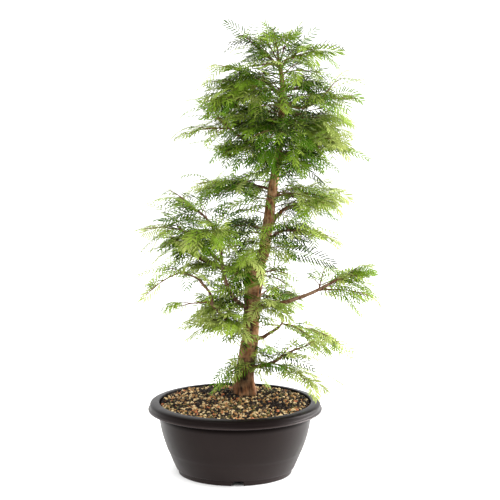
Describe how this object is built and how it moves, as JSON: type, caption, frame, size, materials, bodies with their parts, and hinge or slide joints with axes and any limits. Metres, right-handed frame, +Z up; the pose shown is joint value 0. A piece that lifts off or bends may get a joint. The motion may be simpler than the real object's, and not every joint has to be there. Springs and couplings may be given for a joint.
{
  "type": "dawn redwood bonsai in a training pot",
  "caption": "Dawn redwood bonsai: a leaning tapered trunk with a healed chop, open boughs with flat feathery needle sprays, in a round brown plastic training pot of gritty mix.",
  "frame": {"origin": "centre of the pot's flat underside, where it stands", "axes": "+Z up along the tree, +X towards the side the trunk leans to, -Y the front of the tree"},
  "size_m": [0.3596, 0.259, 0.6562],
  "materials": {
    "pot_plastic": "moulded dark brown polypropylene, satin",
    "potting_mix": "loose grit, pumice, fired clay and bark chips",
    "bark": "fibrous reddish-brown bark with shallow vertical fissures",
    "needles": "soft matt to satin fresh green needles"
  },
  "bodies": {
    "root": {"bough_left_pruned": "bark", "bough_left_stem": "bark", "bough_left_stem_side": "bark", "bough_left_stem_top": "bark", "bough_long_right": "bark", "bough_low_left": "bark", "bough_low_left_outer": "bark", "bough_low_right": "bark", "bough_low_right_rear": "bark", "bough_mid_right": "bark", "bough_mid_right_lower": "bark", "bough_top_left": "bark", "bough_top_right": "bark", "bough_upper_left": "bark", "bough_upper_right": "bark", "leader_left": "bark", "leader_right": "bark", "mass_back_high": "needles", "mass_back_low": "needles", "mass_back_mid": "needles", "mass_front_high": "needles", "mass_front_low": "needles", "mass_front_lowest": "needles", "mass_front_right_shoot": "needles", "mass_front_upper": "needles", "mass_leader_left": "needles", "mass_leader_middle": "needles", "mass_leader_right": "needles", "mass_left_pruned": "needles", "mass_left_side_rear": "needles", "mass_left_side_tip": "needles", "mass_left_stem_inner": "needles", "mass_left_stem_tip": "needles", "mass_long_right_lower": "needles", "mass_long_right_tip": "needles", "mass_long_right_upper": "needles", "mass_low_left": "needles", "mass_low_left_inner": "needles", "mass_low_left_tip": "needles", "mass_low_right_inner": "needles", "mass_low_right_rear": "needles", "mass_low_right_tip": "needles", "mass_mid_left_front": "needles", "mass_mid_left_rear": "needles", "mass_mid_right": "needles", "mass_mid_right_high": "needles", "mass_mid_right_lower": "needles", "mass_mid_right_rear": "needles", "mass_top_left_lower": "needles", "mass_top_left_tip": "needles", "mass_top_right_rear": "needles", "mass_top_right_tip": "needles", "mass_upper_left_front": "needles", "mass_upper_left_rear": "needles", "mass_upper_left_tip": "needles", "mass_upper_right_high": "needles", "mass_upper_right_tip": "needles", "pot": "pot_plastic", "soil": "potting_mix", "trunk": "bark"}
  },
  "joints": []
}
